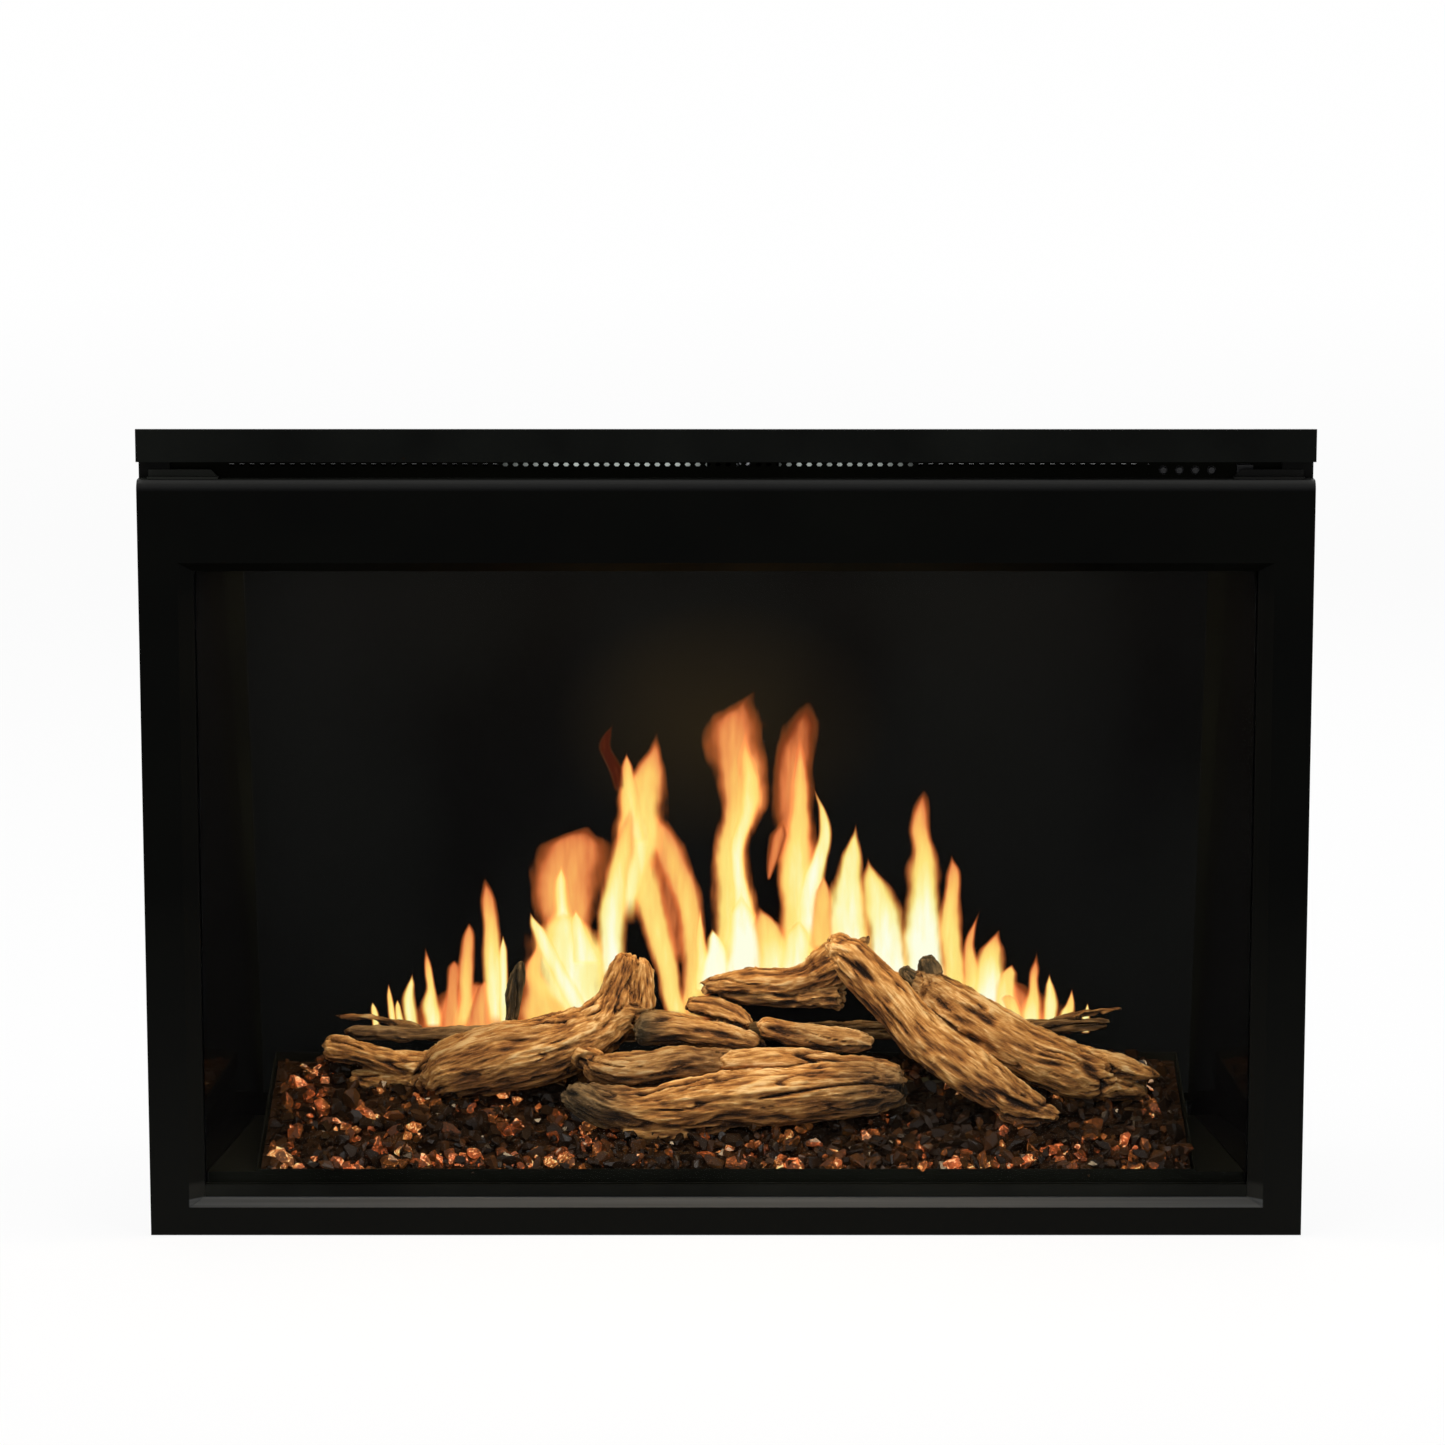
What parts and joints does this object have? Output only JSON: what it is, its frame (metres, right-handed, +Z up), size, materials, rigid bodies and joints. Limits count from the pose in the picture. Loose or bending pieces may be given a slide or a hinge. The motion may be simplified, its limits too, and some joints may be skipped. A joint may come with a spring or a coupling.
{
  "type": "electric fireplace insert",
  "caption": "Built-in electric fireplace insert: black bevelled surround with glass, moulded logs on an ember bed, leaning flame display and a slotted warm-air outlet.",
  "frame": {"origin": "centre of the bounding box's base, on the surface that the box stands on", "axes": "+X along the width to the viewer's right, +Y from the glass front to the back, +Z up"},
  "size_m": [0.95, 0.305, 0.67],
  "materials": {
    "black_steel": "satin black powder coat",
    "inner_steel": "matt black heat-resistant paint",
    "zinc_steel": "zinc-coated sheet",
    "gloss_lining": "gloss black enamel",
    "glass": "clear tempered glass",
    "aluminium": "bare",
    "black_plastic": "moulded",
    "circuit_board": "solder mask",
    "screen": "dark display face",
    "ember_glass": "crushed dark glass",
    "log": "moulded and painted driftwood",
    "motor_steel": "laminated steel"
  },
  "bodies": {
    "cabinet": {"base_pan": "zinc_steel", "side_panel_left": "zinc_steel", "side_panel_right": "zinc_steel", "rear_panel": "zinc_steel", "top_panel": "zinc_steel", "plenum_cover": "zinc_steel", "top_rail": "black_steel", "header_panel": "inner_steel", "outlet_grille": "inner_steel", "control_panel": "inner_steel", "button_board": "circuit_board", "switch_body": "black_plastic", "heater_duct": "zinc_steel", "heater_element_left": "aluminium", "heater_element_right": "aluminium", "thermal_cutout": "aluminium", "blower_housing": "zinc_steel", "blower_bearing": "motor_steel", "motor_bracket": "zinc_steel", "blower_motor": "motor_steel", "liner_left": "gloss_lining", "liner_right": "gloss_lining", "liner_ceiling": "inner_steel", "display_panel": "screen", "display_bezel": "inner_steel", "display_housing": "inner_steel", "display_gusset_left": "zinc_steel", "display_gusset_right": "zinc_steel", "ember_tray": "inner_steel", "ember_bed": "ember_glass", "ember_lamp_strip": "circuit_board", "down_lamp_strip": "circuit_board", "log_left": "log", "log_front": "log", "log_diagonal": "log", "log_right": "log", "log_rear": "log", "log_front_rear": "log", "log_mid_left": "log", "log_mid_right": "log", "log_cross": "log", "power_supply": "aluminium", "control_board": "circuit_board", "terminal_box": "black_plastic", "terminal_cover": "black_plastic", "cable_gland": "black_plastic"},
    "front": {"front_trim": "black_steel", "trim_hook_left": "black_steel", "trim_hook_right": "black_steel", "glass_retainer_bottom": "black_steel", "glass_retainer_top": "black_steel", "front_glass": "glass"},
    "blower_rotor": {"blower_wheel": "aluminium", "blower_shaft": "motor_steel"},
    "button_1": {"push_button_1": "black_plastic"},
    "button_2": {"push_button_2": "black_plastic"},
    "button_3": {"push_button_3": "black_plastic"},
    "button_4": {"push_button_4": "black_plastic"},
    "rocker": {"power_rocker": "black_plastic"}
  },
  "joints": [
    {"name": "front_pull", "type": "slide", "parent": "cabinet", "child": "front", "axis": [0, -1, 0], "range_m": [0, 0.12]},
    {"name": "blower_spin", "type": "hinge", "parent": "cabinet", "child": "blower_rotor", "pos_m": [-0.015, -0.0725, 0.592], "axis": [1, 0, 0], "continuous": true},
    {"name": "button_1_press", "type": "slide", "parent": "cabinet", "child": "button_1", "axis": [0, 1, 0], "range_m": [0, 0.0012], "stiffness_N_per_m": 250},
    {"name": "button_2_press", "type": "slide", "parent": "cabinet", "child": "button_2", "axis": [0, 1, 0], "range_m": [0, 0.0012], "stiffness_N_per_m": 250},
    {"name": "button_3_press", "type": "slide", "parent": "cabinet", "child": "button_3", "axis": [0, 1, 0], "range_m": [0, 0.0012], "stiffness_N_per_m": 250},
    {"name": "button_4_press", "type": "slide", "parent": "cabinet", "child": "button_4", "axis": [0, 1, 0], "range_m": [0, 0.0012], "stiffness_N_per_m": 250},
    {"name": "rocker_tilt", "type": "hinge", "parent": "cabinet", "child": "rocker", "pos_m": [0.42, -0.1255, 0.634], "axis": [1, 0, 0], "range_deg": [-9, 9]}
  ]
}
